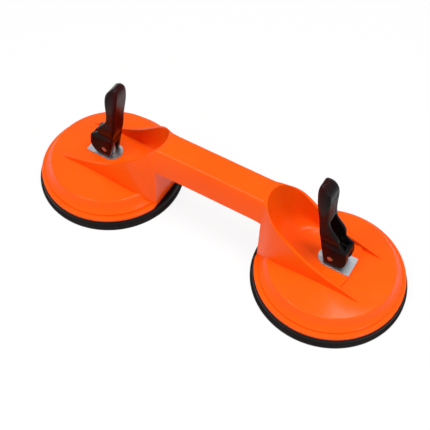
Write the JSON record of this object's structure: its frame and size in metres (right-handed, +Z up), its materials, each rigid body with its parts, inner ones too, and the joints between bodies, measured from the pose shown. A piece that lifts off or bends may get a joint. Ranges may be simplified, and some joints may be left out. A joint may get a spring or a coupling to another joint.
{
  "type": "suction lifter",
  "caption": "Suction lifter for floor tiles: a plastic body with a raised grip joins domed suction cups, each with a cam lever that lifts the middle of its rubber pad.",
  "frame": {"origin": "on the floor under the middle of the grip, midway between the cups' axes", "axes": "+X along the grip through the right cup, +Y across the grip, +Z up from the floor towards the grip"},
  "size_m": [0.315, 0.118, 0.1068],
  "materials": {
    "orange_plastic": "satin moulded plastic",
    "lever_plastic": "gloss moulded plastic",
    "pad_rubber": "matt rubber",
    "plate_steel": "bright rolled steel",
    "zinc_steel": "zinc plated"
  },
  "bodies": {
    "moulding": {"body_moulding": "orange_plastic", "left_wear_plate": "plate_steel", "left_rubber_pad": "pad_rubber", "left_return_spring": "zinc_steel", "right_wear_plate": "plate_steel", "right_rubber_pad": "pad_rubber", "right_return_spring": "zinc_steel"},
    "left_stem": {"left_pull_stem": "zinc_steel", "left_pad_boss": "pad_rubber", "left_pad_insert": "zinc_steel", "left_stem_lock_washer": "zinc_steel", "left_stem_nut": "zinc_steel", "left_spring_washer": "zinc_steel"},
    "left_lever": {"left_cam_lever": "lever_plastic", "left_lever_pin": "zinc_steel"},
    "right_stem": {"right_pull_stem": "zinc_steel", "right_pad_boss": "pad_rubber", "right_pad_insert": "zinc_steel", "right_stem_lock_washer": "zinc_steel", "right_stem_nut": "zinc_steel", "right_spring_washer": "zinc_steel"},
    "right_lever": {"right_cam_lever": "lever_plastic", "right_lever_pin": "zinc_steel"}
  },
  "joints": [
    {"name": "left_stem_lift", "type": "slide", "parent": "moulding", "child": "left_stem", "axis": [0, 0, 1], "range_m": [0, 0.0056], "deforming": ["left_return_spring"]},
    {"name": "left_lever_turn", "type": "hinge", "parent": "left_stem", "child": "left_lever", "pos_m": [-0.0985, 0, 0.0354], "axis": [0, -1, 0], "range_deg": [0, 98.7]},
    {"name": "right_stem_lift", "type": "slide", "parent": "moulding", "child": "right_stem", "axis": [0, 0, 1], "range_m": [0, 0.0056], "deforming": ["right_return_spring"]},
    {"name": "right_lever_turn", "type": "hinge", "parent": "right_stem", "child": "right_lever", "pos_m": [0.0985, 0, 0.0354], "axis": [0, 1, 0], "range_deg": [0, 98.7]}
  ],
  "couplings": [
    {"joint": "left_stem_lift", "follows": "left_lever_turn", "m_per_rad": 0.0032508},
    {"joint": "right_stem_lift", "follows": "right_lever_turn", "m_per_rad": 0.0032508}
  ]
}
